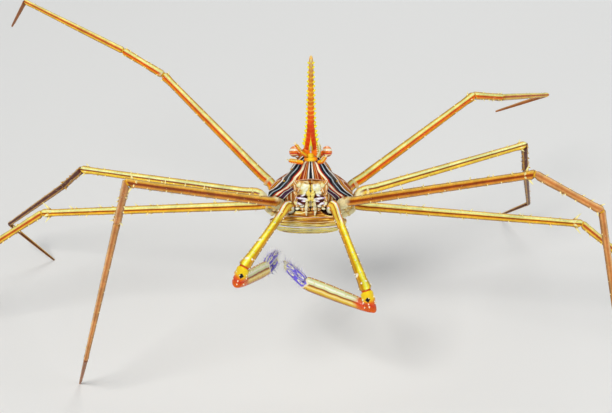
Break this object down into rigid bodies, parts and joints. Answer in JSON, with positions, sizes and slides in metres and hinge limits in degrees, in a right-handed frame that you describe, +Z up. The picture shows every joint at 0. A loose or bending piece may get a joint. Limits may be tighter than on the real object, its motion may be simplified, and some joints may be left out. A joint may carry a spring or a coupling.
{
  "type": "yellowline arrow crab",
  "caption": "Life-size arrow crab on long thin legs, with a triangular shell, a long spiny rostrum, raised hind legs and folded violet-tipped claws.",
  "frame": {"origin": "on the floor, at the middle of the box around the crab", "axes": "+Z up; the crab faces -Y and its own left side is +X, along which its legs spread widest"},
  "size_m": [0.185, 0.08, 0.0644],
  "materials": {
    "shell": "satin chitin, striped",
    "leg": "satin chitin, yellow with a red line",
    "leg_end": "satin chitin, dark red brown",
    "claw": "satin chitin, cream and gold",
    "finger": "satin chitin, violet",
    "rostrum": "satin chitin, red sides with yellow spines",
    "eye": "glossy, red with pale lines",
    "feeler": "satin chitin, orange",
    "mouth": "satin chitin, cream and yellow",
    "belly": "satin chitin, golden with fine lines",
    "sternum": "satin chitin, pale"
  },
  "bodies": {
    "root": {"abdomen": "belly", "antenna_left": "feeler", "antenna_right": "feeler", "antennule_left": "feeler", "antennule_right": "feeler", "carapace": "shell", "eye_left": "eye", "eye_right": "eye", "leg1_left_carpus": "claw", "leg1_left_finger": "finger", "leg1_left_merus": "claw", "leg1_left_palm": "claw", "leg1_right_carpus": "claw", "leg1_right_finger": "finger", "leg1_right_merus": "claw", "leg1_right_palm": "claw", "leg2_left_carpus": "leg", "leg2_left_dactylus": "leg_end", "leg2_left_merus": "leg", "leg2_left_propodus": "leg", "leg2_right_carpus": "leg", "leg2_right_dactylus": "leg_end", "leg2_right_merus": "leg", "leg2_right_propodus": "leg", "leg3_left_carpus": "leg", "leg3_left_dactylus": "leg_end", "leg3_left_merus": "leg", "leg3_left_propodus": "leg", "leg3_right_carpus": "leg", "leg3_right_dactylus": "leg_end", "leg3_right_merus": "leg", "leg3_right_propodus": "leg", "leg4_left_carpus": "leg_end", "leg4_left_dactylus": "leg_end", "leg4_left_merus": "leg", "leg4_left_propodus": "leg_end", "leg4_right_carpus": "leg_end", "leg4_right_dactylus": "leg_end", "leg4_right_merus": "leg", "leg4_right_propodus": "leg_end", "leg5_left_carpus": "leg", "leg5_left_dactylus": "leg_end", "leg5_left_merus": "leg", "leg5_left_propodus": "leg", "leg5_right_carpus": "leg", "leg5_right_dactylus": "leg_end", "leg5_right_merus": "leg", "leg5_right_propodus": "leg", "maxilliped_left": "mouth", "maxilliped_right": "mouth", "rostrum": "rostrum", "sternum": "sternum"}
  },
  "joints": []
}
